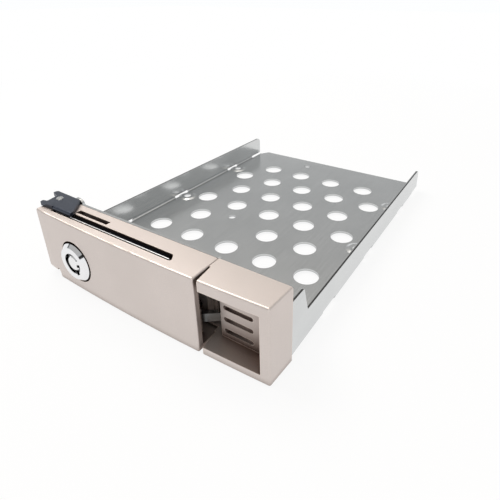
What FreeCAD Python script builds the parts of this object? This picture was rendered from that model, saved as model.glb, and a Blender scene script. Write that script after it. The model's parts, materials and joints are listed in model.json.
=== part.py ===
import FreeCAD, Part
import math
import os

# Hot swap drive caddy for one 3.5 inch drive. Millimetres.
# Origin: centre of the drive's four screw holes, on the tray floor's top face.
# +X right seen from the front, +Y towards the back of the bay, +Z up.

V = FreeCAD.Vector
X_AXIS, Y_AXIS, Z_AXIS = V(1, 0, 0), V(0, 1, 0), V(0, 0, 1)

# ---- Driving dimensions -------------------------------------------------------------------

# Folded steel tray
SHEET = 1.0                  # sheet thickness
BEND_IN = 0.6                # inner bend radius
TRAY_WIDTH = 105.5           # over the side walls
WALL_TOP = 10.7              # top of the low side walls
WALL_GAP = 0.3               # the walls start this far behind the flange's face
TAB_TOP = 20.2               # top of the tall front tabs of the walls
TAB_LENGTH = 6.3             # level top of a tab, from the flange's back
TAB_SLOPE = 2.6              # run of its sloping back edge
FLOOR_REAR = 56.9            # back edge of the floor
WALL_REAR = 52.4             # back end of the side walls
WALL_REAR_R = 2.4            # rounding of their rear top corners
TAB_R = 1.0                  # rounding of the tabs' back corners
FLOOR_CORNER = 3.4           # inset of the floor's rear corners
FLOOR_CORNER_START = 51.2    # where their slant starts
FLOOR_CORNER_R = 0.8
FLANGE_FACE = -86.3          # front face of the upright front flange
FLANGE_TOP = 25.65           # its height behind the lever
FLANGE_TOP_LEFT = 25.2       # its height under the arm's fork
FLANGE_STEP_X = -38.5
FLANGE_TOP_RIGHT = 18.0      # its height behind the finger recess
FLANGE_END_GAP = 1.25        # between the flange and the right wall
FLANGE_LAP = 0.1             # how far the high part of it laps over the bend
FLANGE_LEFT_BOTTOM = 4.0     # underside of its left end, over the lower hinge ear
EAR_NOTCH = 1.2              # gap between the lower hinge ear and the flange's foot
FLANGE_WINDOW_Z = (2.6, 15.6)           # opening behind the recess's slots
FLANGE_WINDOW_MARGIN = 0.5              # how much wider it is than the slots
LUG_LEFT, LUG_RIGHT = -43.4, -38.8      # lug behind the fork
LUG_FOOT, LUG_TOP = 21.4, 26.9
LUG_R = (1.0, 2.2)           # rounding of its left and right corners
RELIEF_WIDTH = 1.6           # width of the bend reliefs, from the wall's outside
RELIEF_LENGTH = 10.0
RELIEF_TOP = 0.9             # how far the reliefs reach up the wall
FRONT_RELIEF_Y = -60.0       # centre of the foremost pair of reliefs
REAR_SLIT = 9.4              # length of the open slit between wall and floor at the back

# Drive screw holes (3.5 inch drive, bottom pattern)
DRIVE_DX = 95.25
DRIVE_DY = 44.45
DRIVE_HOLE_R = 1.75
PAD_R = 4.6                  # raised pad round each hole
PAD_TOP_R = 3.3
PAD_HEIGHT = 0.4
SCREW_SEAT_R = 3.2           # countersink for a flat head, from below
SCREW_SEAT_DEPTH = 0.87

# Airflow holes in the floor: six staggered rows
VENT_PITCH = 19.17
VENT_R = 4.9
VENT_FIRST_Y = -49.9
VENT_ROWS = 6
SMALL_HOLE_R = 1.8
SMALL_HOLES = ((-14.0, -27.6), (-13.5, 48.6))

# Bezel envelope, shared by the fixed frame and the lever cover
BEZEL_TOP = 25.75
BEZEL_BOTTOM = -1.7
BEZEL_FRONT = -98.5          # foremost line of the crowned front
BEZEL_CROWN = 1.4            # how far the ends of the front fall back
BEZEL_HALF = 52.4
BEZEL_FLARE = 0.65           # how much wider the fixed side is at its back
EDGE_R = 0.7                 # rounding of the outer edges
LONG_EDGE = 10.0             # edges along the front are rounded from this length on
CUTTER_REACH = 10.0          # depth of a bore's cutter, through all that it meets

# Fixed frame with the finger recess
BLOCK_LEFT = 29.0            # left edge of the frame at the front
BLOCK_STEP = 28.1            # the same edge where the open part of the gap ends
GAP_DEPTH_Y = -90.8          # where the open gap ends and the close seam begins
SEAM = 0.15                  # close seam between lever and frame
RECESS_BORDER = 3.2          # width of the frame beside the recess
RECESS_BOTTOM = 1.3
RECESS_TOP = 22.1
RECESS_BACK = -91.0
BACK_WALL = 2.0              # thickness of the recess's back wall
BACK_WALL_LEFT = 30.8        # the back wall starts here, with an opening to its left
SLOT_LEFT, SLOT_RIGHT = 31.9, 42.8
SLOT_FIRST_Z = 3.9
SLOT_PITCH = 4.45
SLOT_COUNT = 4
SLOT_HEIGHT = 1.7
FRAME_WALL = 2.0
BACKPLATE_LEFT = -40.5       # left end of the plate behind the lever
BACKPLATE_BOTTOM = 0.8
BACKPLATE_RIBS = (-6.0, 8.0)
BACKPLATE_RIB_T = 0.8        # how far they stand out in front
BACKPLATE_TOP = 23.4
BACKPLATE_T = 2.4
BACKPLATE_R = 1.0            # rounding of its left corners
WINDOW_LEFT = 23.7           # the plate's right end; the opening runs on to the recess's back wall
CAM_HOLE_R = 4.5             # hole in the plate behind the lock

# Hinge of the lever
PIN_X, PIN_Y = -46.8, -89.0
PIN_R = 1.0
PIN_HEAD_R = 1.3
PIN_HEAD_T = 0.35
PIN_CLEARANCE = 0.05         # running clearance of the arm on the pin
PIN_PRESS_GAP = 0.01         # between the pin and the tray's ears
EAR_R = 3.3                  # rounded end of the tray's hinge ears
EAR_GAP = 0.4                # space for a thrust washer beside each ear
WASHER_PLAY = 0.02           # on each side of a washer, and round the pin
WASHER_R = 2.3
RING_T = 0.5                 # retaining ring below the lower ear
PIN_TAIL = 0.6               # how far the pin stands out below

# Lever arm, black folded steel
ARM_T = 1.2
ARM_BEND = 0.4               # inner bend radius
WEB_FRONT = -94.35
WEB_TOP = 25.1
WEB_SHOULDER = (20.1, 23.1)  # lower and upper end of the web's sloping left shoulder
WEB_END_FRONT = 15.0         # right end of the web, slanted in plan
WEB_END_BACK = 12.9
RIDGE_TOP = 25.6             # thin ridge along the web's top front edge
RIDGE_WIDTH = 0.45
TOP_FLANGE_BACK = -92.2      # the web's top edge is folded back to this line
FORK_UNDER = 25.8            # underside of the forked top plate
FORK_T = 1.4
FORK_RIGHT = 13.8            # the fork's right front corner, from the hinge pin's axis
FORK_SLANT = 6.4             # how far its right side leans in
FORK_STEP = 3.4              # left end of its fold to the web
FORK_BACK = 3.3
# Claws of the fork from its back left corner on: x and y from the pin's axis, and radius
FORK_CLAWS = ((-7.0, 3.7, 0.9), (-7.1, 1.8, 0.6), (-3.2, 1.0, 0.5), (-2.2, -3.6, 0.5),
              (-4.4, -4.0, 0.5), (-3.7, -5.5, 0.7))
LOWER_ARM_LENGTH = 9.0       # right end of the lower flange, from the pin's axis

# Lever cover
COVER_LEFT = -50.0
COVER_NOSE_R = 0.8           # rounding of the left front edge
COVER_RIGHT = 27.4
COVER_BACK = -86.5
FACET_LEFT_OF = -45.5        # the front's left end falls back in a flat facet
FACET_DROP = 0.35
SKIN = 2.0                   # front skin
COVER_WALL = 1.8             # top, bottom and left walls
NOTCH_RIGHT = -42.2          # the cover's lower left corner is cut away up to here
NOTCH_TOP = 1.3
NOTCH_SLANT = 0.6
NOTCH_RELIEF_R = 0.6         # round relief in the notch's top edge
TOP_SLOT_BACK = -92.0
TOP_SLOT_LEFT = -43.9
TOP_SLOT_GAP = 0.65          # between the slot's front edge and the web
TOP_SLOT_END_GAP = 1.6       # between the web's slanted end and the slot's
WINDOW = ((-34.3, -17.8), (-91.1, -89.2))
LEFT_CUT = -41.3             # left of this line the cover is open behind its front strip
LEFT_TOP_BACK = -92.9        # back edge of its top there
TOP_SLOT_R = (0.7, 1.0)      # rounding of its right end, front and back
COVER_RIB_X = -4.0
RIB_T = 1.2                  # ribs of the cover and of the plate behind it
RIB_END_GAP = 1.0
LOCK_BOSS_WALL = 2.0         # boss round the lock inside the cover

# Key lock
LOCK_X, LOCK_Z = -28.9, 10.6
LOCK_FACE = -99.5
LOCK_RIM_R = 7.4
LOCK_FACE_R = 6.3            # flat front of the rim, inside its conical side
LOCK_CONE = 1.1              # depth of the conical side
LOCK_BODY_R = 6.0
LOCK_BORE_GAP = 0.7          # round the rim
LOCK_FIT_GAP = 0.1           # round the body
LOCK_SEAT_T = 0.6            # how far behind the skin the rim is seated
LOCK_FLAT = 0.5              # depth of the flats on the body's sides
KEY_R_OUT, KEY_R_IN = 4.0, 2.9
KEY_DEPTH = 5.2
KEY_NOTCH_TURN = -34.0       # outer notch of the key groove, degrees from straight down
KEY_NOTCH_HALF = 0.9         # half its width
KEY_NOTCH_REACH = 0.6        # its depth outside the groove
POST_NOTCH_TURN = 100.0      # notch of the centre post, degrees from straight up
POST_NOTCH_HALF = 0.6
POST_NOTCH_DEPTH = 0.9
POST_BEVEL = 0.35
POST_SET_BACK = 0.2          # behind the rim's face
ROTOR_CLEARANCE = 0.05
LOCK_BACK = -91.0
CAM_T = 1.2
CAM_LENGTH = 9.2
CAM_HALF = 2.9               # half the cam's width
CAM_TIP_R = 1.4
CAM_PLAY = 0.05              # between the cam, the tail and the screw's head
CAM_SCREW_R = 0.78
CAM_SCREW_HEAD_R = 2.4
CAM_SCREW_HEAD_T = 0.75
CAM_SCREW_LENGTH = 3.1
TAIL_R = 1.9                 # half the width of the rotor's square tail
NUT_FLATS = 14.0
NUT_T = 1.3
LOCK_WASHER_R = 7.3
LOCK_WASHER_T = 0.4
NUT_GAP = 0.05               # round the lock's body
LOCK_PIN_COUNT = 7
LOCK_PIN_R = 0.45
LOCK_PIN_LENGTH = 1.2

# Screws
SCREW_R = 1.2
SCREW_HEAD_R = 2.3
SCREW_HEAD_T = 1.4
SCREW_GAP = 0.05             # between a screw's thread and its hole
PASS_GAP = 0.25              # clearance hole of a screw
BOSS_WALL = 1.5
FRAME_SCREWS = {"frame_screw_1": (-37.0, 18.5), "frame_screw_2": (-37.0, 5.6),
                "frame_screw_3": (19.8, 7.2), "frame_screw_4": (19.8, 19.0),
                "frame_screw_5": (TRAY_WIDTH / 2 - 6.15, 12.5)}
SCREW_HEAD_EDGE = 0.5        # bevel of the screw heads
CROSS_DEPTH = 0.6            # crossed recess of the heads
CROSS_HALF = 0.25            # half its width
CROSS_SHARE = 0.5            # its reach, as a share of the head's radius
SCREW_TIP_GAP = 0.6          # between a screw's tip and the far face of the plate
FRAME_HOLE_MOUTH = 1.75      # widened front end of the frame's screw holes
COVER_SCREWS = {"cover_screw_1": (-13.0, 19.0), "cover_screw_2": (9.5, 6.0),
                "cover_screw_3": (9.5, 19.0)}

# Keeper: a bent hook that the lock's cam turns in behind
KEEPER_T = 1.0
KEEPER_BEND = 0.3
KEEPER_GAP = 0.4             # between the cam and the hook
KEEPER_SIDE_GAP = 0.8        # between the cam's swing and the riser
KEEPER_LAP = 1.6             # how far the hook reaches over the cam's end
KEEPER_HEIGHT = 7.2
KEEPER_FOOT = 7.5
KEEPER_RIVET_INSET = 3.6     # from the riser to the rivet
KEEPER_RIVET_R = 1.0
RIVET_HEAD_R = 1.9
RIVET_HEAD_T = 0.8
RIVET_HEAD_EDGE = 0.3
RIVET_LENGTH = 1.9           # in the plate

# Snap catch: a steel leaf held behind the recess's back wall
CATCH_T = 0.6
CATCH_BEND = 0.8
CATCH_BOTTOM, CATCH_TOP = 4.9, 8.0
CATCH_BASE_TOP = 7.3
CATCH_BASE_RIGHT = 39.0
CATCH_TIP = (24.6, -92.8)
CATCH_LIP = 1.7              # the leaf's top edge is folded back by this much
CATCH_LIP_START = (28.6, -89.88)
CATCH_SCREW_X = 36.2
CATCH_SCREW_R = 0.8
CATCH_SCREW_HEAD_R = 1.5
CATCH_SCREW_HEAD_T = 0.9
CATCH_SCREW_LENGTH = 1.3
STRIKE_GAP = 0.2             # between the leaf's tip and the rib it rests against
STRIKE_T = 1.5
STRIKE_REACH = 0.8           # how far the rib reaches past the tip

# ---- Values worked out from the above ------------------------------------------------------

FLOOR_UNDER = -SHEET
HALF_TRAY = TRAY_WIDTH / 2
WALL_IN = HALF_TRAY - SHEET
BEND_OUT = BEND_IN + SHEET
FLANGE_BACK = FLANGE_FACE + SHEET
WALL_FRONT = FLANGE_FACE + WALL_GAP
VENT_ROW_STEP = VENT_PITCH * math.sqrt(3) / 2
FORK_TOP = FORK_UNDER + FORK_T
FORK_LEFT_X = PIN_X + FORK_STEP
FORK_RIGHT_X = PIN_X + FORK_RIGHT
RECESS_RIGHT = BEZEL_HALF - RECESS_BORDER
UPPER_EAR_TOP = FORK_UNDER - EAR_GAP
UPPER_EAR_UNDER = UPPER_EAR_TOP - SHEET
LOWER_FLANGE_Z = EAR_GAP
WEB_BACK = WEB_FRONT + ARM_T
BACKPLATE_FRONT = FLANGE_FACE - BACKPLATE_T
PIN_BORE_R = PIN_R + PIN_CLEARANCE
LOCK_SEAT = BEZEL_FRONT + SKIN + LOCK_SEAT_T
CAM_FRONT = LOCK_BACK + 0.1
CAM_BACK = CAM_FRONT + CAM_T
CAM_TIP_X = LOCK_X + CAM_LENGTH
KEEPER_RISER = CAM_TIP_X + KEEPER_SIDE_GAP
KEEPER_RIVET_X = KEEPER_RISER + KEEPER_T + KEEPER_RIVET_INSET


# ---- Small building blocks -----------------------------------------------------------------

def box(x0, x1, y0, y1, z0, z1):
    return Part.makeBox(x1 - x0, y1 - y0, z1 - z0, V(x0, y0, z0))


def cyl(radius, start, axis, length):
    return Part.makeCylinder(radius, length, start, axis)


def outline(corners):
    """Closed wire through (x, y, radius) corners; each radius becomes a tangent arc."""
    edges = []
    ends = []
    count = len(corners)
    for i, (x, y, radius) in enumerate(corners):
        here = V(x, y, 0)
        before = V(*corners[i - 1][:2], 0) - here
        after = V(*corners[(i + 1) % count][:2], 0) - here
        before.normalize()
        after.normalize()
        if radius <= 0:
            ends.append((here, None, here))
            continue
        half = before.getAngle(after) / 2
        reach = radius / math.tan(half)
        middle = before + after
        middle.normalize()
        mid = here + middle * (radius / math.sin(half) - radius)
        ends.append((here + before * reach, mid, here + after * reach))
    for i, (start, mid, end) in enumerate(ends):
        if mid is not None:
            edges.append(Part.Arc(start, mid, end).toShape())
        following = ends[(i + 1) % count][0]
        if (following - end).Length > 1e-6:
            edges.append(Part.LineSegment(end, following).toShape())
    return Part.Wire(edges)


def prism(corners, z0, z1):
    """Extrude an outline drawn in XY from z0 to z1."""
    solid = Part.Face(outline(corners)).extrude(V(0, 0, z1 - z0))
    solid.translate(V(0, 0, z0))
    return solid


def side_prism(corners, x0, x1):
    """Extrude an outline drawn in (Y, Z) from x0 to x1."""
    solid = Part.Face(outline(corners)).extrude(V(0, 0, x1 - x0))
    solid.rotate(V(0, 0, 0), V(1, 1, 1), 120)
    solid.translate(V(x0, 0, 0))
    return solid


def front_prism(corners, y0, y1):
    """Extrude an outline drawn in (X, Z) from y0 to y1."""
    solid = Part.Face(outline(corners)).extrude(V(0, 0, y0 - y1))
    solid.rotate(V(0, 0, 0), X_AXIS, 90)
    solid.translate(V(0, y0, 0))
    return solid


def strip(path, thickness, bend, z0, z1):
    """Sheet strip on edge: a path in XY, thickened to its right-hand side, with bent corners."""
    points = [V(x, y, 0) for x, y in path]
    sides = []
    for start, end in zip(points, points[1:]):
        run = end - start
        run.normalize()
        sides.append(V(run.y, -run.x, 0))
    near = [(points[0], 0)]
    far = [(points[0] + sides[0] * thickness, 0)]
    for point, one, two in zip(points[1:], sides, sides[1:]):
        both = one + two
        turns_left = one.cross(two).z > 0
        near.append((point, bend if turns_left else bend + thickness))
        far.append((point + both * (2 * thickness / both.Length ** 2),
                    bend + thickness if turns_left else bend))
    near.append((points[-1], 0))
    far.append((points[-1] + sides[-1] * thickness, 0))
    corners = [(p.x, p.y, radius) for p, radius in near + far[::-1]]
    return prism(corners, z0, z1)


def turned(profile, x, z):
    """Turn a profile of (radius, y) points about an axis along Y."""
    points = [V(radius, y, 0) for radius, y in profile]
    face = Part.Face(Part.makePolygon(points + points[:1]))
    solid = face.revolve(V(0, 0, 0), Y_AXIS, 360)
    solid.translate(V(x, 0, z))
    return solid


def rect(x0, x1, y0, y1, radius=0.0):
    return [(x0, y0, radius), (x1, y0, radius), (x1, y1, radius), (x0, y1, radius)]


def crown_radius():
    return (BEZEL_HALF ** 2 + BEZEL_CROWN ** 2) / (2 * BEZEL_CROWN)


def front_y(x, inset=0.0):
    """Y of the crowned front at x, or of a surface that lies inset behind it."""
    radius = crown_radius() - inset
    return BEZEL_FRONT + inset + radius - math.sqrt(radius ** 2 - x ** 2)


def crowned_slab(x0, x1, back, z0, z1, inset=0.0, flare=0.0):
    """Solid between the crowned front and a flat back; flare widens its right side backwards."""
    start, end = V(x0, front_y(x0, inset), 0), V(x1, front_y(x1, inset), 0)
    middle = (x0 + x1) / 2
    arc = Part.Arc(start, V(middle, front_y(middle, inset), 0), end).toShape()
    sides = Part.makePolygon([end, V(x1 + flare, back, 0), V(x0, back, 0), start])
    solid = Part.Face(Part.Wire([arc] + sides.Edges)).extrude(V(0, 0, z1 - z0))
    solid.translate(V(0, 0, z0))
    return solid


def is_upright(edge):
    bounds = edge.BoundBox
    return bounds.XLength < 1e-4 and bounds.YLength < 1e-4


def fuse(shapes):
    whole = shapes[0].multiFuse(shapes[1:]) if len(shapes) > 1 else shapes[0]
    return whole.removeSplitter()


def pick(shape, test):
    return [e for e in shape.Edges if test(e)]


def save(name, shape):
    if not shape.isValid():
        raise ValueError("invalid solid: " + name)
    shape.exportStep("parts/" + name + ".step")


# ---- Tray ----------------------------------------------------------------------------------

def folded_channel(y0, y1, top):
    """Floor and both walls of the tray as one U-shaped fold, open at the flange's bend."""
    outer = [(-HALF_TRAY, top, 0), (-HALF_TRAY, FLOOR_UNDER, BEND_OUT),
             (HALF_TRAY, FLOOR_UNDER, BEND_OUT), (HALF_TRAY, top, 0),
             (WALL_IN, top, 0), (WALL_IN, 0, BEND_IN),
             (-WALL_IN, 0, BEND_IN), (-WALL_IN, top, 0)]
    flange_bend = box(-WALL_IN, WALL_IN, y0 - 1, FLANGE_BACK + BEND_IN, FLOOR_UNDER - 1, BEND_OUT)
    return front_prism(outer, y0, y1).cut(flange_bend)


def wall_silhouette():
    """Side view of the walls: tall front tab, slope, low wall, rounded rear corner."""
    tab_end = FLANGE_BACK + TAB_LENGTH
    below = FLOOR_UNDER - 1
    return side_prism([(WALL_FRONT, below, 0), (WALL_REAR, below, 0),
                       (WALL_REAR, WALL_TOP, WALL_REAR_R), (tab_end + TAB_SLOPE, WALL_TOP, 0.5),
                       (tab_end, TAB_TOP, TAB_R), (WALL_FRONT, TAB_TOP, 0.4)],
                      -HALF_TRAY - 1, HALF_TRAY + 1)


def floor_tongue():
    """Level end of the floor behind the walls, with its corners cut at a slant."""
    edge = HALF_TRAY - RELIEF_WIDTH
    radius = FLOOR_CORNER_R
    return prism([(-edge, WALL_REAR - REAR_SLIT, 0), (edge, WALL_REAR - REAR_SLIT, 0),
                  (edge, FLOOR_CORNER_START, radius), (edge - FLOOR_CORNER, FLOOR_REAR, radius),
                  (-edge + FLOOR_CORNER, FLOOR_REAR, radius),
                  (-edge, FLOOR_CORNER_START, radius)], FLOOR_UNDER, 0)


def bend_reliefs():
    """Slits along both bends beside the drive screws, at the front and at the rear."""
    spans = [(y - RELIEF_LENGTH / 2, y + RELIEF_LENGTH / 2)
             for y in (FRONT_RELIEF_Y, -DRIVE_DY / 2, DRIVE_DY / 2)]
    spans.append((WALL_REAR - REAR_SLIT, FLOOR_REAR + 1))
    cuts = []
    for y0, y1 in spans:
        for side in (-1, 1):
            near, far = side * (HALF_TRAY - RELIEF_WIDTH), side * (HALF_TRAY + 1)
            cuts.append(box(min(near, far), max(near, far), y0, y1, FLOOR_UNDER - 1,
                            RELIEF_TOP))
    return cuts


def vent_centres():
    """Staggered holes: rows of five and four in turn, one place left out."""
    for row in range(VENT_ROWS):
        count = 5 - row % 2
        for i in range(count):
            x = (i - (count - 1) / 2) * VENT_PITCH
            if row == 1 and i == 1:
                continue
            yield x, VENT_FIRST_Y + row * VENT_ROW_STEP


def drive_hole_centres():
    return [(sx * DRIVE_DX / 2, sy * DRIVE_DY / 2) for sx in (-1, 1) for sy in (-1, 1)]


def front_flange():
    """Upright flange that carries the bezel, with the upper hinge ear and a lug at its left."""
    lower_left = PIN_X + EAR_R + EAR_NOTCH
    right = WALL_IN - FLANGE_END_GAP
    foot = side_prism([(FLANGE_FACE, FLANGE_TOP_RIGHT, 0), (FLANGE_FACE, FLOOR_UNDER, BEND_OUT),
                       (FLANGE_BACK + 2, FLOOR_UNDER, 0), (FLANGE_BACK + 2, 0, 0),
                       (FLANGE_BACK, 0, BEND_IN), (FLANGE_BACK, FLANGE_TOP_RIGHT, 0)],
                      lower_left, right)
    lap = BEND_OUT - FLANGE_LAP
    behind_lever = front_prism([(lower_left, lap, 0), (COVER_RIGHT, lap, 0),
                                (COVER_RIGHT, FLANGE_TOP, 0.5), (FLANGE_STEP_X, FLANGE_TOP, 0.2),
                                (FLANGE_STEP_X, FLANGE_TOP_LEFT, 0.1),
                                (lower_left, FLANGE_TOP_LEFT, 0)], FLANGE_FACE, FLANGE_BACK)
    left = front_prism([(PIN_X - EAR_R, FLANGE_LEFT_BOTTOM, 1.5),
                        (lower_left + 1, FLANGE_LEFT_BOTTOM, 0),
                        (lower_left + 1, UPPER_EAR_UNDER - BEND_IN, 0),
                        (PIN_X - EAR_R, UPPER_EAR_UNDER - BEND_IN, 0)], FLANGE_FACE, FLANGE_BACK)
    lug = front_prism([(LUG_LEFT, LUG_FOOT, 0), (LUG_RIGHT, LUG_FOOT, 0),
                       (LUG_RIGHT, LUG_TOP, LUG_R[1]), (LUG_LEFT, LUG_TOP, LUG_R[0])],
                      FLANGE_BACK, FLANGE_BACK + SHEET)
    return [foot, behind_lever, left, lug, hinge_ear_fold()]


def hinge_ear_fold():
    """Upper hinge ear: folded forward from the top of the flange and rounded at the pin."""
    fold = side_prism([(FLANGE_BACK, UPPER_EAR_UNDER - BEND_IN - 1, 0),
                       (FLANGE_BACK, UPPER_EAR_TOP, BEND_OUT),
                       (PIN_Y - EAR_R - 1, UPPER_EAR_TOP, 0),
                       (PIN_Y - EAR_R - 1, UPPER_EAR_UNDER, 0),
                       (FLANGE_FACE, UPPER_EAR_UNDER, BEND_IN),
                       (FLANGE_FACE, UPPER_EAR_UNDER - BEND_IN - 1, 0)],
                      PIN_X - EAR_R, PIN_X + EAR_R)
    return fold.common(ear_plan(UPPER_EAR_UNDER - 3, UPPER_EAR_TOP + 1))


def ear_plan(z0, z1):
    """Plan shape of a hinge ear: straight sides back to the tray, round at the pin."""
    round_end = cyl(EAR_R, V(PIN_X, PIN_Y, z0), Z_AXIS, z1 - z0)
    neck = box(PIN_X - EAR_R, PIN_X + EAR_R, PIN_Y, FLANGE_BACK + BEND_OUT, z0, z1)
    return round_end.fuse(neck)


def tray():
    body = folded_channel(WALL_FRONT, WALL_REAR, TAB_TOP).common(wall_silhouette())
    body = body.cut(fuse_all(bend_reliefs()))
    pads = [Part.makeCone(PAD_R, PAD_TOP_R, PAD_HEIGHT, V(x, y, 0)) for x, y in
            drive_hole_centres()]
    body = fuse([body, floor_tongue(), ear_plan(FLOOR_UNDER, 0)] + front_flange() + pads)
    cuts = [cyl(VENT_R, V(x, y, FLOOR_UNDER - 1), Z_AXIS, SHEET + 2) for x, y in vent_centres()]
    cuts += [cyl(SMALL_HOLE_R, V(x, y, FLOOR_UNDER - 1), Z_AXIS, SHEET + 2)
             for x, y in SMALL_HOLES]
    for x, y in drive_hole_centres():
        cuts.append(cyl(DRIVE_HOLE_R, V(x, y, FLOOR_UNDER - 1), Z_AXIS, SHEET + PAD_HEIGHT + 2))
        cuts.append(Part.makeCone(SCREW_SEAT_R, DRIVE_HOLE_R, SCREW_SEAT_DEPTH,
                                  V(x, y, FLOOR_UNDER)))
    cuts.append(cyl(PIN_R + PIN_PRESS_GAP, V(PIN_X, PIN_Y, FLOOR_UNDER - 1), Z_AXIS,
                    FORK_TOP + 2))
    for x, z in FRAME_SCREWS.values():
        cuts.append(cyl(SCREW_R + PASS_GAP, V(x, FLANGE_FACE - 1, z), Y_AXIS, SHEET + 2))
    cuts.append(front_prism(rect(SLOT_LEFT - FLANGE_WINDOW_MARGIN,
                                 SLOT_RIGHT + FLANGE_WINDOW_MARGIN, *FLANGE_WINDOW_Z, 1.0),
                            FLANGE_FACE - 1, FLANGE_BACK + 1))
    return body.cut(fuse_all(cuts))


def fuse_all(shapes):
    return shapes[0].multiFuse(shapes[1:])


# ---- Fixed bezel frame ---------------------------------------------------------------------

def screw_boss(x, z, y0, y1):
    return cyl(SCREW_R + BOSS_WALL, V(x, y0, z), Y_AXIS, y1 - y0)


def right_block():
    """Outer form of the fixed block; its left side widens the gap towards the front."""
    slab = crowned_slab(COVER_RIGHT + SEAM, BEZEL_HALF, FLANGE_FACE, BEZEL_BOTTOM, BEZEL_TOP,
                        flare=BEZEL_FLARE)
    far_left = COVER_RIGHT - 1
    trim = prism([(far_left, BEZEL_FRONT - 1, 0), (BLOCK_LEFT, BEZEL_FRONT - 1, 0),
                  (BLOCK_LEFT, front_y(BLOCK_LEFT) + 0.2, 0), (BLOCK_STEP, GAP_DEPTH_Y, 0),
                  (COVER_RIGHT + SEAM, GAP_DEPTH_Y, 0), (far_left, GAP_DEPTH_Y, 0)],
                 BEZEL_BOTTOM - 1, BEZEL_TOP + 1)
    slab = slab.cut(trim)
    edges = pick(slab, lambda e: outer_edge(e, BEZEL_HALF))
    return slab.makeFillet(EDGE_R, edges)


def outer_edge(edge, right):
    """Front, top, bottom and right-hand edges that a hand can touch."""
    b = edge.BoundBox
    level = b.ZLength < 1e-4 and (abs(b.ZMax - BEZEL_TOP) < 1e-4
                                  or abs(b.ZMax - BEZEL_BOTTOM) < 1e-4)
    front = b.YMax < BEZEL_FRONT + 3 and b.XLength > LONG_EDGE
    on_right = b.XMin > right - 1e-3
    upright_front = is_upright(edge) and on_right and b.YMax < BEZEL_FRONT + 3
    return (level and (front or on_right)) or upright_front


def frame_backplate():
    plate = front_prism([(BACKPLATE_LEFT, BACKPLATE_BOTTOM, BACKPLATE_R),
                         (BACK_WALL_LEFT, BACKPLATE_BOTTOM, 0),
                         (BACK_WALL_LEFT, BACKPLATE_TOP, 0),
                         (BACKPLATE_LEFT, BACKPLATE_TOP, BACKPLATE_R)],
                        BACKPLATE_FRONT, FLANGE_FACE)
    half = RIB_T / 2
    ribs = [box(x - half, x + half, BACKPLATE_FRONT - BACKPLATE_RIB_T, BACKPLATE_FRONT + 0.1,
                BACKPLATE_BOTTOM + RIB_END_GAP, BACKPLATE_TOP - RIB_END_GAP)
            for x in BACKPLATE_RIBS]
    return [plate] + ribs


def catch_z():
    return (CATCH_BOTTOM + CATCH_BASE_TOP) / 2


def keeper():
    """Bent hook, riveted to the plate, that the lock's cam turns in behind."""
    lip = CAM_FRONT - KEEPER_GAP
    half = KEEPER_HEIGHT / 2
    hook = strip([(CAM_TIP_X - KEEPER_LAP, lip), (KEEPER_RISER, lip),
                  (KEEPER_RISER, BACKPLATE_FRONT),
                  (KEEPER_RISER + KEEPER_T + KEEPER_FOOT, BACKPLATE_FRONT)],
                 KEEPER_T, KEEPER_BEND, LOCK_Z - half, LOCK_Z + half)
    return hook.cut(keeper_rivet_bore(SCREW_GAP))


def keeper_rivet_bore(gap):
    return cyl(KEEPER_RIVET_R + gap, V(KEEPER_RIVET_X, BACKPLATE_FRONT - 3, LOCK_Z), Y_AXIS, 5)


def keeper_rivet():
    """Rivet with a domed head in front of the hook's foot."""
    seat = BACKPLATE_FRONT - KEEPER_T
    top = seat - RIVET_HEAD_T
    end = BACKPLATE_FRONT + RIVET_LENGTH
    return turned([(0, top), (KEEPER_RIVET_R, top), (RIVET_HEAD_R, seat - RIVET_HEAD_EDGE),
                   (RIVET_HEAD_R, seat), (KEEPER_RIVET_R, seat), (KEEPER_RIVET_R, end),
                   (0, end)], KEEPER_RIVET_X, LOCK_Z)


def bezel_frame():
    recess = box(COVER_RIGHT - 1, RECESS_RIGHT, BEZEL_FRONT - 1, RECESS_BACK,
                 RECESS_BOTTOM, RECESS_TOP)
    window = box(WINDOW_LEFT, BACK_WALL_LEFT, RECESS_BACK - 1, FLANGE_FACE + 1,
                 RECESS_BOTTOM, RECESS_TOP)
    pocket = box(BACK_WALL_LEFT - 1, BEZEL_HALF - FRAME_WALL, RECESS_BACK + BACK_WALL,
                 FLANGE_FACE + 1, BEZEL_BOTTOM + FRAME_WALL, BEZEL_TOP - FRAME_WALL)
    block = right_block().cut(fuse_all([recess, pocket]))
    bosses = [screw_boss(x, z, RECESS_BACK + BACK_WALL - 0.5, FLANGE_FACE)
              for x, z in FRAME_SCREWS.values() if x > BACK_WALL_LEFT]
    body = fuse([block] + frame_backplate() + bosses)
    cuts = [window, keeper_rivet_bore(SCREW_GAP),
            cyl(CATCH_SCREW_R + SCREW_GAP, V(CATCH_SCREW_X, RECESS_BACK + 0.5, catch_z()),
                Y_AXIS, BACK_WALL)]
    for x, z in FRAME_SCREWS.values():
        bore = SCREW_R + SCREW_GAP
        if x < BACK_WALL_LEFT:
            cuts.append(cyl(bore, V(x, BACKPLATE_FRONT - 1, z), Y_AXIS, BACKPLATE_T + 2))
            cuts.append(cyl(FRAME_HOLE_MOUTH, V(x, BACKPLATE_FRONT - 1, z), Y_AXIS, 1.5))
        else:
            cuts.append(cyl(bore, V(x, RECESS_BACK + BACK_WALL - 0.6, z), Y_AXIS, 5))
    cuts.append(cyl(CAM_HOLE_R, V(LOCK_X, BACKPLATE_FRONT - 1, LOCK_Z), Y_AXIS,
                    BACKPLATE_T + 2))
    for i in range(SLOT_COUNT):
        z = SLOT_FIRST_Z + i * SLOT_PITCH
        half = SLOT_HEIGHT / 2
        cuts.append(front_prism(rect(SLOT_LEFT, SLOT_RIGHT, z - half, z + half, half - 0.01),
                                RECESS_BACK - 1, RECESS_BACK + BACK_WALL + 0.5))
    return body.cut(fuse_all(cuts))


# ---- Lever cover ---------------------------------------------------------------------------

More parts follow.
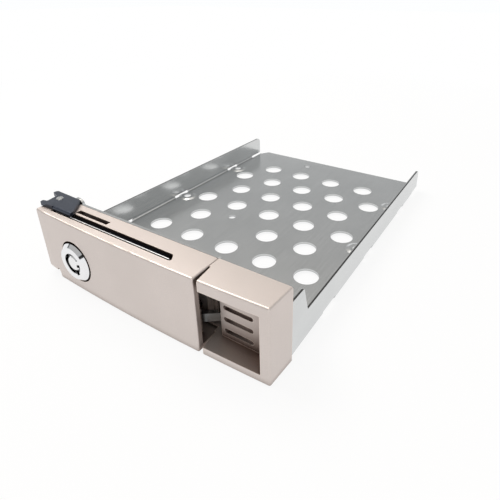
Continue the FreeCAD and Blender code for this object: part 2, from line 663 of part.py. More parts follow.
def lever_cover():
    inside_left = COVER_LEFT + COVER_WALL
    outer = crowned_slab(COVER_LEFT, COVER_RIGHT, COVER_BACK, BEZEL_BOTTOM, BEZEL_TOP)
    outer = outer.cut(left_facet())
    outer = outer.makeFillet(COVER_NOSE_R, pick(outer, nose_edge))
    edges = pick(outer, cover_edge)
    outer = outer.makeFillet(EDGE_R, edges)
    cavity = crowned_slab(inside_left, COVER_RIGHT + 1, COVER_BACK + 1,
                          BEZEL_BOTTOM + COVER_WALL, BEZEL_TOP - COVER_WALL, inset=SKIN)
    body = outer.cut(cavity)
    cuts = [top_slot(), lower_left_notch(), notch_relief()] + left_end_cuts()
    (wx0, wx1), (wy0, wy1) = WINDOW
    cuts.append(box(wx0, wx1, wy0, wy1, BEZEL_TOP - COVER_WALL - 1, BEZEL_TOP + 1))
    body = body.cut(fuse_all(cuts))
    inner = BEZEL_FRONT + SKIN
    root = inner - SKIN / 2
    posts = [screw_boss(x, z, root, WEB_FRONT) for x, z in COVER_SCREWS.values()]
    posts.append(cyl(LOCK_RIM_R + LOCK_BOSS_WALL, V(LOCK_X, root, LOCK_Z), Y_AXIS,
                     WEB_FRONT - root))
    rib = box(COVER_RIB_X - RIB_T / 2, COVER_RIB_X + RIB_T / 2, root, WEB_FRONT - 0.1,
              BEZEL_BOTTOM + 1, BEZEL_TOP - 1)
    strike_right = CATCH_TIP[0] - CATCH_T - STRIKE_GAP
    strike = box(strike_right - STRIKE_T, strike_right, root, CATCH_TIP[1] + STRIKE_REACH,
                 BEZEL_BOTTOM + 1, CATCH_TOP + 1)
    body = fuse([body, rib, strike] + posts)
    bores = [cyl(LOCK_RIM_R + LOCK_BORE_GAP, V(LOCK_X, BEZEL_FRONT - 1, LOCK_Z), Y_AXIS,
                 LOCK_SEAT - BEZEL_FRONT + 1),
             cyl(LOCK_BODY_R + LOCK_FIT_GAP, V(LOCK_X, BEZEL_FRONT, LOCK_Z), Y_AXIS,
                 CUTTER_REACH)]
    bores += [cyl(SCREW_R + SCREW_GAP, V(x, inner, z), Y_AXIS, CUTTER_REACH)
              for x, z in COVER_SCREWS.values()]
    return body.cut(fuse_all(bores))


def cover_edge(edge):
    b = edge.BoundBox
    level = b.ZLength < 1e-4 and (abs(b.ZMax - BEZEL_TOP) < 1e-4
                                  or abs(b.ZMax - BEZEL_BOTTOM) < 1e-4)
    front = b.YMax < BEZEL_FRONT + 3.5 and b.YMin < BEZEL_FRONT + 2
    right = b.XMin > COVER_RIGHT - 1e-3
    return (level and (front or right)) or (is_upright(edge) and right and front)


def left_facet():
    """What is taken off the front's left end, to leave a flat facet that falls back."""
    front = BEZEL_FRONT - 1
    edge = front_y(COVER_LEFT) + FACET_DROP
    return prism([(COVER_LEFT - 1, front, 0), (FACET_LEFT_OF, front, 0),
                  (FACET_LEFT_OF, front_y(FACET_LEFT_OF), 0), (COVER_LEFT, edge, 0),
                  (COVER_LEFT - 1, edge, 0)], BEZEL_BOTTOM - 1, BEZEL_TOP + 1)


def nose_edge(edge):
    """Upright edge between the cover's front and its left end."""
    b = edge.BoundBox
    return is_upright(edge) and b.XMax < COVER_LEFT + 1e-3 and b.YMax < BEZEL_FRONT + 3


def top_slot():
    """Long slot in the cover's top, filled by the folded edge of the arm's web."""
    front = WEB_FRONT - TOP_SLOT_GAP
    end_front = WEB_END_FRONT + TOP_SLOT_END_GAP
    end_back = WEB_END_BACK + TOP_SLOT_END_GAP
    return prism([(TOP_SLOT_LEFT, front, 0), (end_front, front, TOP_SLOT_R[0]),
                  (end_back, TOP_SLOT_BACK, TOP_SLOT_R[1]), (TOP_SLOT_LEFT, TOP_SLOT_BACK, 0)],
                 BEZEL_TOP - COVER_WALL - 1, BEZEL_TOP + 1)


def left_end_cuts():
    """Behind its front strip the cover's left end is open, to swing past the hinge ears."""
    under_top = BEZEL_TOP - COVER_WALL
    spans = [(WEB_FRONT - 0.15, BEZEL_BOTTOM - 1, under_top),
             (LEFT_TOP_BACK, under_top - 0.5, BEZEL_TOP + 1)]
    return [box(COVER_LEFT - 1, LEFT_CUT, y0, COVER_BACK + 1, z0, z1) for y0, z0, z1 in spans]


def notch_relief():
    """Round bite in the notch's top edge, beside its corner."""
    start = V(NOTCH_RIGHT - 1.5 * NOTCH_RELIEF_R, BEZEL_FRONT - 1, NOTCH_TOP + 0.3)
    return cyl(NOTCH_RELIEF_R, start, Y_AXIS, 8)


def lower_left_notch():
    """Cut-away lower left corner, over the tray's lower hinge ear."""
    return front_prism([(COVER_LEFT - 1, BEZEL_BOTTOM - 1, 0),
                        (NOTCH_RIGHT + NOTCH_SLANT, BEZEL_BOTTOM - 1, 0),
                        (NOTCH_RIGHT, NOTCH_TOP, 0.4), (COVER_LEFT - 1, NOTCH_TOP, 0)],
                       BEZEL_FRONT - 1, COVER_BACK + 1)


# ---- Lever arm -----------------------------------------------------------------------------

def fork_plan():
    """Forked top plate: two claws with a mouth between them, and a slanted right side."""
    claws = [(PIN_X + dx, PIN_Y + dy, radius) for dx, dy, radius in FORK_CLAWS]
    return ([(FORK_RIGHT_X, WEB_FRONT, 0), (FORK_RIGHT_X, WEB_BACK + 0.2, 0.5),
             (FORK_RIGHT_X - FORK_SLANT, PIN_Y + FORK_BACK, 1.4)] + claws
            + [(FORK_LEFT_X, WEB_FRONT + 0.2, 0.2), (FORK_LEFT_X, WEB_FRONT, 0)])


def lower_flange_plan():
    """Plain lower flange round the pin, joined to the web."""
    z0 = LOWER_FLANGE_Z
    round_end = cyl(WASHER_R, V(PIN_X, PIN_Y, z0), Z_AXIS, ARM_T)
    right = PIN_X + LOWER_ARM_LENGTH
    neck = prism([(PIN_X - WASHER_R, PIN_Y, 0), (PIN_X - WASHER_R, WEB_FRONT, 1.0),
                  (right, WEB_FRONT, 0), (right, WEB_BACK, 0.5),
                  (PIN_X + WASHER_R, PIN_Y, 0)], z0, z0 + ARM_T)
    return [round_end, neck]


def folded_web():
    """The web with its top edge folded back behind a thin ridge, as one strip."""
    ridge_back = WEB_FRONT + RIDGE_WIDTH
    fold = side_prism([(WEB_FRONT, LOWER_FLANGE_Z, 0), (WEB_FRONT, RIDGE_TOP, 0.15),
                       (ridge_back, RIDGE_TOP, 0.15), (ridge_back, WEB_TOP, 0),
                       (TOP_FLANGE_BACK, WEB_TOP, 0), (TOP_FLANGE_BACK, WEB_TOP - ARM_T, 0),
                       (WEB_BACK, WEB_TOP - ARM_T, ARM_BEND), (WEB_BACK, LOWER_FLANGE_Z, 0)],
                      FORK_RIGHT_X, WEB_END_FRONT)
    end = prism([(WEB_END_FRONT, WEB_FRONT, 0), (WEB_END_FRONT + 1, WEB_FRONT, 0),
                 (WEB_END_FRONT + 1, TOP_FLANGE_BACK + 1, 0),
                 (WEB_END_BACK, TOP_FLANGE_BACK, 0)], LOWER_FLANGE_Z - 1, RIDGE_TOP + 1)
    return fold.cut(end)


def lever_arm():
    web_left = PIN_X + WASHER_R
    web = front_prism([(web_left, LOWER_FLANGE_Z, 0.6), (FORK_RIGHT_X, LOWER_FLANGE_Z, 0),
                       (FORK_RIGHT_X, FORK_TOP, 0), (FORK_LEFT_X, FORK_TOP, 0),
                       (FORK_LEFT_X, WEB_SHOULDER[1], 0.5), (web_left, WEB_SHOULDER[0], 0.6)],
                      WEB_FRONT, WEB_BACK)
    fork = prism(fork_plan(), FORK_UNDER, FORK_TOP)
    body = fuse([web, folded_web(), fork] + lower_flange_plan())
    body = body.makeFillet(ARM_T * 0.8, pick(body, fold_edge))
    cuts = [cyl(PIN_BORE_R, V(PIN_X, PIN_Y, -5), Z_AXIS, FORK_TOP + 10),
            cyl(LOCK_BODY_R + LOCK_FIT_GAP, V(LOCK_X, WEB_FRONT - 1, LOCK_Z), Y_AXIS, ARM_T + 2)]
    cuts += [cyl(SCREW_R + PASS_GAP, V(x, WEB_FRONT - 1, z), Y_AXIS, ARM_T + 2)
             for x, z in COVER_SCREWS.values()]
    return body.cut(fuse_all(cuts))


def fold_edge(edge):
    """Outer edge of the fold between the web and the forked plate."""
    b = edge.BoundBox
    return (b.XLength > 6 and b.YLength < 1e-4 and b.ZLength < 1e-4
            and abs(b.YMax - WEB_FRONT) < 1e-4 and abs(b.ZMax - FORK_TOP) < 1e-4)


# ---- Hinge pin and its washers -------------------------------------------------------------

def hinge_pin():
    bottom = FLOOR_UNDER - PIN_TAIL
    seat = FORK_TOP + PIN_CLEARANCE
    shaft = cyl(PIN_R, V(PIN_X, PIN_Y, bottom), Z_AXIS, seat - bottom)
    head = Part.makeCone(PIN_HEAD_R, PIN_R, PIN_HEAD_T, V(PIN_X, PIN_Y, seat))
    return shaft.fuse(head).removeSplitter()


def washer(z0, thickness):
    ring = cyl(WASHER_R, V(PIN_X, PIN_Y, z0), Z_AXIS, thickness)
    return ring.cut(cyl(PIN_R + WASHER_PLAY, V(PIN_X, PIN_Y, z0 - 1), Z_AXIS, thickness + 2))


# ---- Key lock ------------------------------------------------------------------------------

def along_lock(radius, y0, y1):
    return cyl(radius, V(LOCK_X, y0, LOCK_Z), Y_AXIS, y1 - y0)


def lock_body():
    """Chrome sleeve: conical rim, threaded barrel with two flats, key groove and its notch."""
    body = turned([(KEY_R_OUT, LOCK_FACE), (LOCK_FACE_R, LOCK_FACE),
                   (LOCK_RIM_R, LOCK_FACE + LOCK_CONE), (LOCK_RIM_R, LOCK_SEAT),
                   (LOCK_BODY_R, LOCK_SEAT), (LOCK_BODY_R, LOCK_BACK),
                   (KEY_R_OUT, LOCK_BACK)], LOCK_X, LOCK_Z)
    notch = box(-KEY_NOTCH_HALF, KEY_NOTCH_HALF, LOCK_FACE - 1, LOCK_FACE + KEY_DEPTH,
                -KEY_R_OUT - KEY_NOTCH_REACH, 1 - KEY_R_OUT)
    notch.rotate(V(0, 0, 0), Y_AXIS, KEY_NOTCH_TURN)
    notch.translate(V(LOCK_X, 0, LOCK_Z))
    flats = []
    for side in (-1, 1):
        x = LOCK_X + side * LOCK_BODY_R
        flats.append(box(x - LOCK_FLAT, x + LOCK_FLAT, WEB_BACK, LOCK_BACK + 1,
                         LOCK_Z - LOCK_BODY_R, LOCK_Z + LOCK_BODY_R))
    return body.cut(fuse_all([notch] + flats))


def lock_rotor():
    """Turning plug: bevelled centre post, drum, and a square tail for the cam."""
    post_front = LOCK_FACE + POST_SET_BACK
    drum_front = LOCK_FACE + KEY_DEPTH
    drum_r = KEY_R_OUT - ROTOR_CLEARANCE
    body = turned([(0, post_front), (KEY_R_IN - POST_BEVEL, post_front),
                   (KEY_R_IN, post_front + POST_BEVEL), (KEY_R_IN, drum_front),
                   (drum_r, drum_front), (drum_r, LOCK_BACK), (0, LOCK_BACK)], LOCK_X, LOCK_Z)
    tail = box(-TAIL_R, TAIL_R, LOCK_BACK, CAM_BACK, -TAIL_R, TAIL_R)
    notch = box(-POST_NOTCH_HALF, POST_NOTCH_HALF, LOCK_FACE - 1, drum_front - 0.4,
                KEY_R_IN - POST_NOTCH_DEPTH, KEY_R_IN + 1)
    notch.rotate(V(0, 0, 0), Y_AXIS, POST_NOTCH_TURN)
    for shape in (tail, notch):
        shape.translate(V(LOCK_X, 0, LOCK_Z))
    thread = along_lock(CAM_SCREW_R + CAM_PLAY, CAM_BACK - CAM_SCREW_LENGTH - 0.1, CAM_BACK + 1)
    return fuse([body, tail]).cut(fuse_all([notch, thread]))


def lock_pins():
    """Ring of small pins that stand in the key groove."""
    front = LOCK_FACE + KEY_DEPTH - LOCK_PIN_LENGTH
    ring = (KEY_R_IN + KEY_R_OUT) / 2
    pins = []
    for i in range(LOCK_PIN_COUNT):
        angle = 2 * math.pi * i / LOCK_PIN_COUNT
        start = V(LOCK_X + ring * math.sin(angle), front, LOCK_Z + ring * math.cos(angle))
        pins.append(cyl(LOCK_PIN_R, start, Y_AXIS, LOCK_PIN_LENGTH))
    return Part.makeCompound(pins)


def lock_cam():
    """Flat cam that hangs down when unlocked, with a square hole for the rotor's tail."""
    top_r = CAM_HALF * 0.9
    tip = CAM_HALF * 0.8
    plate = front_prism([(-CAM_HALF, CAM_HALF, top_r), (CAM_HALF, CAM_HALF, top_r),
                         (tip, -CAM_LENGTH, CAM_TIP_R), (-tip, -CAM_LENGTH, CAM_TIP_R)],
                        CAM_FRONT, CAM_BACK - CAM_PLAY)
    hole = TAIL_R + CAM_PLAY
    plate = plate.cut(box(-hole, hole, CAM_FRONT - 1, CAM_BACK + 1, -hole, hole))
    plate.translate(V(LOCK_X, 0, LOCK_Z))
    return plate


def lock_washer():
    ring = along_lock(LOCK_WASHER_R, WEB_BACK, WEB_BACK + LOCK_WASHER_T)
    return ring.cut(along_lock(LOCK_BODY_R + NUT_GAP, WEB_BACK - 1, WEB_BACK + 2))


def lock_nut():
    radius = NUT_FLATS / math.sqrt(3)
    start = WEB_BACK + LOCK_WASHER_T
    corners = [(LOCK_X + radius * math.cos(math.radians(60 * i + 30)),
                LOCK_Z + radius * math.sin(math.radians(60 * i + 30)), 0) for i in range(6)]
    nut = front_prism(corners, start, start + NUT_T)
    return nut.cut(along_lock(LOCK_BODY_R + NUT_GAP, start - 1, start + NUT_T + 1))


# ---- Screws and catch ----------------------------------------------------------------------

def pan_screw(x, z, head_back, under_head, tip, radius=SCREW_R, head_r=SCREW_HEAD_R):
    """Screw along -Y with a bevelled head towards +Y and a crossed recess."""
    bevel = min(SCREW_HEAD_EDGE, (head_back - under_head) / 2)
    body = turned([(0, tip), (radius, tip), (radius, under_head), (head_r, under_head),
                   (head_r, head_back - bevel), (head_r - bevel, head_back),
                   (0, head_back)], x, z)
    arm = head_r * CROSS_SHARE
    bars = [box(x - dx, x + dx, head_back - CROSS_DEPTH, head_back + 1, z - dz, z + dz)
            for dx, dz in ((arm, CROSS_HALF), (CROSS_HALF, arm))]
    return body.cut(fuse_all(bars))


def frame_screw(x, z):
    far = BACKPLATE_FRONT if x < BACK_WALL_LEFT else RECESS_BACK + BACK_WALL - 1
    return pan_screw(x, z, FLANGE_BACK + SCREW_HEAD_T, FLANGE_BACK, far + SCREW_TIP_GAP)


def cover_screw(x, z):
    return pan_screw(x, z, WEB_BACK + SCREW_HEAD_T, WEB_BACK,
                     BEZEL_FRONT + SKIN + SCREW_TIP_GAP / 2)


def catch_spring():
    """Bent leaf: a flat base behind the recess's back wall and a tip inside the lever's end."""
    back = RECESS_BACK + BACK_WALL
    path = [(CATCH_BASE_RIGHT, back), (BACK_WALL_LEFT - 1.0, back), CATCH_TIP]
    leaf = strip(path, CATCH_T, CATCH_BEND, CATCH_BOTTOM, CATCH_TOP)
    trim = box(BACK_WALL_LEFT, CATCH_BASE_RIGHT + 1, back - 1, back + 2, CATCH_BASE_TOP,
               CATCH_TOP + 1)
    hole = cyl(CATCH_SCREW_R + SCREW_GAP, V(CATCH_SCREW_X, back - 1, catch_z()), Y_AXIS, 3)
    lip = strip([CATCH_LIP_START, CATCH_TIP], CATCH_LIP, 0, CATCH_TOP - CATCH_T, CATCH_TOP)
    return fuse([leaf.cut(trim.fuse(hole)), lip])


def catch_screw():
    back = RECESS_BACK + BACK_WALL
    under_head = back + CATCH_T
    return pan_screw(CATCH_SCREW_X, catch_z(), under_head + CATCH_SCREW_HEAD_T, under_head,
                     back - CATCH_SCREW_LENGTH, CATCH_SCREW_R, CATCH_SCREW_HEAD_R)


def cam_screw():
    return pan_screw(LOCK_X, LOCK_Z, CAM_BACK + CAM_SCREW_HEAD_T, CAM_BACK,
                     CAM_BACK - CAM_SCREW_LENGTH, CAM_SCREW_R, CAM_SCREW_HEAD_R)


# ---- Build ---------------------------------------------------------------------------------

def build():
    os.makedirs("parts", exist_ok=True)
    save("tray", tray())
    save("bezel_frame", bezel_frame())
    save("lever_cover", lever_cover())
    save("lever_arm", lever_arm())
    save("keeper", keeper())
    save("keeper_rivet", keeper_rivet())
    save("hinge_pin", hinge_pin())
    thickness = EAR_GAP - 2 * WASHER_PLAY
    save("upper_thrust_washer", washer(UPPER_EAR_TOP + WASHER_PLAY, thickness))
    save("lower_thrust_washer", washer(WASHER_PLAY, thickness))
    save("pin_retaining_ring", washer(FLOOR_UNDER - WASHER_PLAY - RING_T, RING_T))
    save("lock_body", lock_body())
    save("lock_rotor", lock_rotor())
    save("lock_pins", lock_pins())
    save("lock_cam", lock_cam())
    save("lock_washer", lock_washer())
    save("lock_nut", lock_nut())
    save("cam_screw", cam_screw())
    save("catch_spring", catch_spring())
    save("catch_screw", catch_screw())
    for name, (x, z) in FRAME_SCREWS.items():
        save(name, frame_screw(x, z))
    for name, (x, z) in COVER_SCREWS.items():
        save(name, cover_screw(x, z))


build()
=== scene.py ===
import json
import math

import bpy
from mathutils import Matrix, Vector


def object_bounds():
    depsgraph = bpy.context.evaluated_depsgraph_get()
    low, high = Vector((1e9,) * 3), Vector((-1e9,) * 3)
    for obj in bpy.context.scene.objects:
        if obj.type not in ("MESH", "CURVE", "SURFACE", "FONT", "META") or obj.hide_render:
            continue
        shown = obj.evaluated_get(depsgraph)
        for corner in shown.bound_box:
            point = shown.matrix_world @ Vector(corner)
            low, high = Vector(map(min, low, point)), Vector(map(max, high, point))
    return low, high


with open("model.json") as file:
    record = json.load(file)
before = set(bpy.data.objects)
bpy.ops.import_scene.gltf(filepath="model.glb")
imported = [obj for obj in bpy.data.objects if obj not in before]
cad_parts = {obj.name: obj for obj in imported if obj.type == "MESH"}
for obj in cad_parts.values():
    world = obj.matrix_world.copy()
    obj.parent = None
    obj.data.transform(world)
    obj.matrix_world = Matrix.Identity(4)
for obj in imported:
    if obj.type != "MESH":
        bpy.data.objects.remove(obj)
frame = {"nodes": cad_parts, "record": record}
cad_low, cad_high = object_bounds()
nodes = frame["nodes"]

MM = 0.001
WHITE = (1.0, 1.0, 1.0)


# ---- Camera and lamps -----------------------------------------------------------------------

CAMERA_PLACE = (0.09659, -0.16489, 0.09740)
CAMERA_TURN = (65.551, -0.258, 31.387)      # degrees about X, Y and Z
CAMERA_LENS = 29.783
CAMERA_SENSOR = 36.0
CAMERA_SHIFT = (-0.0612, -0.1341)
CAMERA_CLIP = (0.01, 20.0)

KEY_PLACE = (-0.44, 0.03, 0.77)
KEY_TARGET = (0.0, -0.02, 0.0)
KEY_SIZE = (0.5, 0.5)
KEY_POWER = 3.8
KEY_COLOUR = (1.0, 0.955, 0.90)
FILL_PLACE = (0.50, -0.60, 0.40)
FILL_TARGET = (0.0, -0.05, 0.0)
FILL_SIZE = (0.6, 0.4)
FILL_POWER = 0.8


def make_camera():
    data = bpy.data.cameras.new("camera")
    data.lens = CAMERA_LENS
    data.sensor_width = CAMERA_SENSOR
    data.shift_x, data.shift_y = CAMERA_SHIFT
    data.clip_start, data.clip_end = CAMERA_CLIP
    camera = bpy.data.objects.new("camera", data)
    camera.location = CAMERA_PLACE
    camera.rotation_euler = [math.radians(angle) for angle in CAMERA_TURN]
    bpy.context.scene.collection.objects.link(camera)
    bpy.context.scene.camera = camera


def area_light(name, place, target, size, power, colour=WHITE):
    data = bpy.data.lights.new(name, "AREA")
    data.shape = "RECTANGLE"
    data.size, data.size_y = size
    data.energy = power
    data.color = colour
    light = bpy.data.objects.new(name, data)
    light.location = place
    direction = Vector(target) - Vector(place)
    light.rotation_euler = direction.to_track_quat("-Z", "Y").to_euler()
    bpy.context.scene.collection.objects.link(light)


def make_lights():
    area_light("key", KEY_PLACE, KEY_TARGET, KEY_SIZE, KEY_POWER, KEY_COLOUR)
    area_light("fill", FILL_PLACE, FILL_TARGET, FILL_SIZE, FILL_POWER)


# ---- Nodes that the world, the floor and the finishes are built from -------------------------

class Graph:
    """Helpers that add nodes to a node tree. Each takes and returns outputs of nodes."""

    def __init__(self, tree):
        self.tree = tree
        self.tree.nodes.clear()

    def add(self, kind):
        return self.tree.nodes.new("ShaderNode" + kind)

    def link(self, output, socket):
        self.tree.links.new(output, socket)

    def calculate(self, operation, *values):
        """One step of arithmetic on values that are plain numbers or outputs."""
        node = self.add("Math")
        node.operation = operation
        for socket, value in zip(node.inputs, values):
            if isinstance(value, (int, float)):
                socket.default_value = value
            else:
                self.link(value, socket)
        return node.outputs[0]

    def remap(self, value, low, high, out_low, out_high):
        """The range from low to high mapped onto the other range, and held past its ends."""
        node = self.add("MapRange")
        node.inputs["From Min"].default_value = low
        node.inputs["From Max"].default_value = high
        node.inputs["To Min"].default_value = out_low
        node.inputs["To Max"].default_value = out_high
        self.link(value, node.inputs["Value"])
        return node.outputs["Result"]

    def dot(self, a, b):
        """Dot product of an output with another output or a plain direction."""
        node = self.add("VectorMath")
        node.operation = "DOT_PRODUCT"
        self.link(a, node.inputs[0])
        if isinstance(b, Vector):
            node.inputs[1].default_value = b
        else:
            self.link(b, node.inputs[1])
        return node.outputs["Value"]

    def part_of(self, vector, axis):
        """The X, Y or Z of a vector."""
        split = self.add("SeparateXYZ")
        self.link(vector, split.inputs[0])
        return split.outputs[axis]

    def blend(self, share, colour_a, colour_b):
        """Colour a where share is 0, colour b where it is 1; each a plain colour or an output."""
        node = self.add("Mix")
        node.data_type = "RGBA"
        self.link(share, node.inputs["Factor"])
        for name, colour in (("A", colour_a), ("B", colour_b)):
            if isinstance(colour, tuple):
                node.inputs[name].default_value = (*colour, 1.0)
            else:
                self.link(colour, node.inputs[name])
        return node.outputs["Result"]

    def seen_directly(self):
        """1 for camera, glossy and transmission rays, 0 for the rays that carry light."""
        path = self.add("LightPath")
        seen = path.outputs["Is Camera Ray"]
        for ray in ("Is Glossy Ray", "Is Transmission Ray"):
            seen = self.calculate("MAXIMUM", seen, path.outputs[ray])
        return seen


# ---- World ----------------------------------------------------------------------------------

# Brightness of the studio by the sine of the height above the horizon
STUDIO = ((0.00, 1.00), (0.24, 1.00), (0.32, 0.52), (0.70, 0.50), (0.82, 1.40), (0.92, 0.68),
          (1.00, 0.68))
STUDIO_MOST = 2.0                           # top of the curve's scale
WARM_FROM, WARM_TO = 0.45, 0.80             # the sines over which the ceiling's tint comes in
HORIZON_TINT = (0.985, 0.995, 1.0)
CEILING_TINT = (1.0, 0.965, 0.92)
# Small dark flags, for polished metal to reflect: direction, radius in degrees, what is left
FLAGS = (((0.28, -0.90, 0.34), 5.0, 0.03), ((-0.90, -0.33, 0.36), 5.0, 0.10))
FLAG_SOFT = 2.5                             # degrees over which a flag's edge fades


def studio_strength(graph, height):
    """The studio's brightness at a height above the horizon."""
    curve = graph.add("FloatCurve")
    points = curve.mapping.curves[0].points
    curve.mapping.clip_max_y = STUDIO_MOST
    while len(points) < len(STUDIO):
        points.new(0.5, 0.5)                # the loop below puts it in its place
    for point, place in zip(points, STUDIO):
        point.location = place
        point.handle_type = "VECTOR"
    curve.mapping.update()
    graph.link(height, curve.inputs["Value"])
    return curve.outputs[0]


def flagged(graph, direction, strength):
    """The studio's strength, cut down inside each flag."""
    for centre, radius, rest in FLAGS:
        nearness = graph.dot(direction, Vector(centre).normalized())
        outside = math.cos(math.radians(radius + FLAG_SOFT))
        inside = math.cos(math.radians(radius))
        fade = graph.remap(nearness, outside, inside, 1.0, rest)
        strength = graph.calculate("MULTIPLY", strength, fade)
    return strength


def make_world():
    """White up to some way above the horizon, then greyer walls and a bright ceiling."""
    world = bpy.data.worlds.new("studio")
    bpy.context.scene.world = world
    world.use_nodes = True
    graph = Graph(world.node_tree)
    direction = graph.add("TexCoord").outputs["Generated"]
    height = graph.part_of(direction, "Z")
    sky = graph.add("Background")
    warmth = graph.remap(height, WARM_FROM, WARM_TO, 0.0, 1.0)
    graph.link(graph.blend(warmth, HORIZON_TINT, CEILING_TINT), sky.inputs["Color"])
    strength = flagged(graph, direction, studio_strength(graph, height))
    graph.link(strength, sky.inputs["Strength"])
    graph.link(sky.outputs[0], graph.add("OutputWorld").inputs["Surface"])


# ---- Floor ----------------------------------------------------------------------------------

FLOOR_HALF = 3.0
FLOOR_DROP = 0.05 * MM
FLOOR_PAINT = (0.85, 0.85, 0.85, 1.0)
GLOW_NEAR, GLOW_FAR = 0.88, 1.0             # share of plain white near the object and far away
GLOW_FROM, GLOW_TO = 0.15, 0.45             # metres over which it grows


def floor_white():
    """White paint that keeps the object's shadow near it and is plain white far away."""
    material = bpy.data.materials.new("floor_white")
    material.use_nodes = True
    graph = Graph(material.node_tree)
    paint = graph.add("BsdfDiffuse")
    paint.inputs["Color"].default_value = FLOOR_PAINT
    glow = graph.add("Emission")
    away = graph.add("VectorMath")
    away.operation = "LENGTH"
    graph.link(graph.add("TexCoord").outputs["Object"], away.inputs[0])
    share = graph.remap(away.outputs["Value"], GLOW_FROM, GLOW_TO, GLOW_NEAR, GLOW_FAR)
    mix = graph.add("MixShader")
    graph.link(graph.calculate("MULTIPLY", graph.seen_directly(), share), mix.inputs[0])
    graph.link(paint.outputs[0], mix.inputs[1])
    graph.link(glow.outputs[0], mix.inputs[2])
    graph.link(mix.outputs[0], graph.add("OutputMaterial").inputs["Surface"])
    return material


def make_floor():
    """Level floor just under the object, out to the white horizon."""
    mesh = bpy.data.meshes.new("floor")
    z = cad_low.z - FLOOR_DROP
    corners = [(-FLOOR_HALF, -FLOOR_HALF, z), (FLOOR_HALF, -FLOOR_HALF, z),
               (FLOOR_HALF, FLOOR_HALF, z), (-FLOOR_HALF, FLOOR_HALF, z)]
    mesh.from_pydata(corners, [], [(0, 1, 2, 3)])
    mesh.materials.append(floor_white())
    floor = bpy.data.objects.new("floor", mesh)
    bpy.context.scene.collection.objects.link(floor)


# ---- Finishes -------------------------------------------------------------------------------

HOLLOW_SAMPLES = 8
HOLLOW_FULL = 0.25                          # openness below which a hollow has its full painted shade
EDGE_SAMPLES = 6
NOISE_LOW, NOISE_HIGH = 0.3, 0.7            # the range that most of a noise lies in
NOISE_ROUGHNESS = 0.5                       # share that each finer layer of a noise keeps


class Finish(Graph):
    """A node material round one Principled shader, with helpers for what lies on a surface."""

    def __init__(self, name):
        self.material = bpy.data.materials.new(name)
        self.material.use_nodes = True
        super().__init__(self.material.node_tree)
        self.shader = self.add("BsdfPrincipled")
        self.link(self.shader.outputs[0], self.add("OutputMaterial").inputs["Surface"])
        self.place = self.add("TexCoord").outputs["Object"]

    def feed(self, name, output):
        self.link(output, self.shader.inputs[name])

    def metallic(self, value):
        self.shader.inputs["Metallic"].default_value = value

    def noise(self, size, detail, stretch=(1.0, 1.0, 1.0)):
        """Noise whose features are about size metres across, drawn out where stretch is low."""
        mapping = self.add("Mapping")
        mapping.inputs["Scale"].default_value = stretch
        self.link(self.place, mapping.inputs["Vector"])
        node = self.add("TexNoise")
        node.inputs["Scale"].default_value = 1.0 / size
        node.inputs["Detail"].default_value = detail
        node.inputs["Roughness"].default_value = NOISE_ROUGHNESS
        self.link(mapping.outputs["Vector"], node.inputs["Vector"])
        return node.outputs["Fac"]

    def colours(self, value, *stops):
        """A colour ramp over a value: each stop is a place on it and a colour."""
        node = self.add("ValToRGB")
        for element, (place, colour) in zip(node.color_ramp.elements, stops):
            element.position = place
            element.color = (*colour, 1.0)
        self.link(value, node.inputs["Fac"])
        return node.outputs["Color"]

    def pattern_colours(self, pattern, dark, light):
        """Colours that follow a noise from dark to light."""
        return self.colours(pattern, (NOISE_LOW, dark), (NOISE_HIGH, light))

    def multiply(self, colour_a, colour_b):
        node = self.add("Mix")
        node.data_type = "RGBA"
        node.blend_type = "MULTIPLY"
        node.inputs["Factor"].default_value = 1.0
        self.link(colour_a, node.inputs["A"])
        self.link(colour_b, node.inputs["B"])
        return node.outputs["Result"]

    def roughness(self, pattern, low, high):
        """Roughness that follows a noise from low to high."""
        self.feed("Roughness", self.remap(pattern, NOISE_LOW, NOISE_HIGH, low, high))

    def shade_hollows(self, colour, reach, deep, own=False, open_at=0.85):
        """Painted shade in corners and hollows: the colour goes towards colour times deep.

        With own, only the piece's own recesses count, not the pieces and floor beside it.
        """
        hidden = self.add("AmbientOcclusion")
        hidden.samples = HOLLOW_SAMPLES
        hidden.only_local = own
        hidden.inputs["Distance"].default_value = reach
        tint = self.colours(hidden.outputs["AO"], (HOLLOW_FULL, deep), (open_at, WHITE))
        return self.multiply(colour, tint)

    def plain_normal(self):
        return self.add("NewGeometry").outputs["True Normal"]

    def edge_share(self, radius, low, high):
        """1 along the piece's edges, where its rounded normal turns away, 0 on plain faces."""
        rounded = self.add("Bevel")
        rounded.samples = EDGE_SAMPLES
        rounded.inputs["Radius"].default_value = radius
        likeness = self.dot(rounded.outputs["Normal"], self.plain_normal())
        return self.remap(likeness, high, low, 0.0, 1.0)

    def facing_up(self, least):
        """1 where the surface's normal has more than this share of up in it."""
        return self.calculate("GREATER_THAN", self.part_of(self.plain_normal(), "Z"), least)

    def within(self, axis, low, high):
        """1 where the place on an axis lies between two values in metres."""
        place = self.part_of(self.place, axis)
        above = self.calculate("GREATER_THAN", place, low)
        below = self.calculate("LESS_THAN", place, high)
        return self.calculate("MULTIPLY", above, below)

    def bump(self, height, strength, distance):
        node = self.add("Bump")
        node.inputs["Strength"].default_value = strength
        node.inputs["Distance"].default_value = distance
        self.link(height, node.inputs["Height"])
        self.feed("Normal", node.outputs["Normal"])


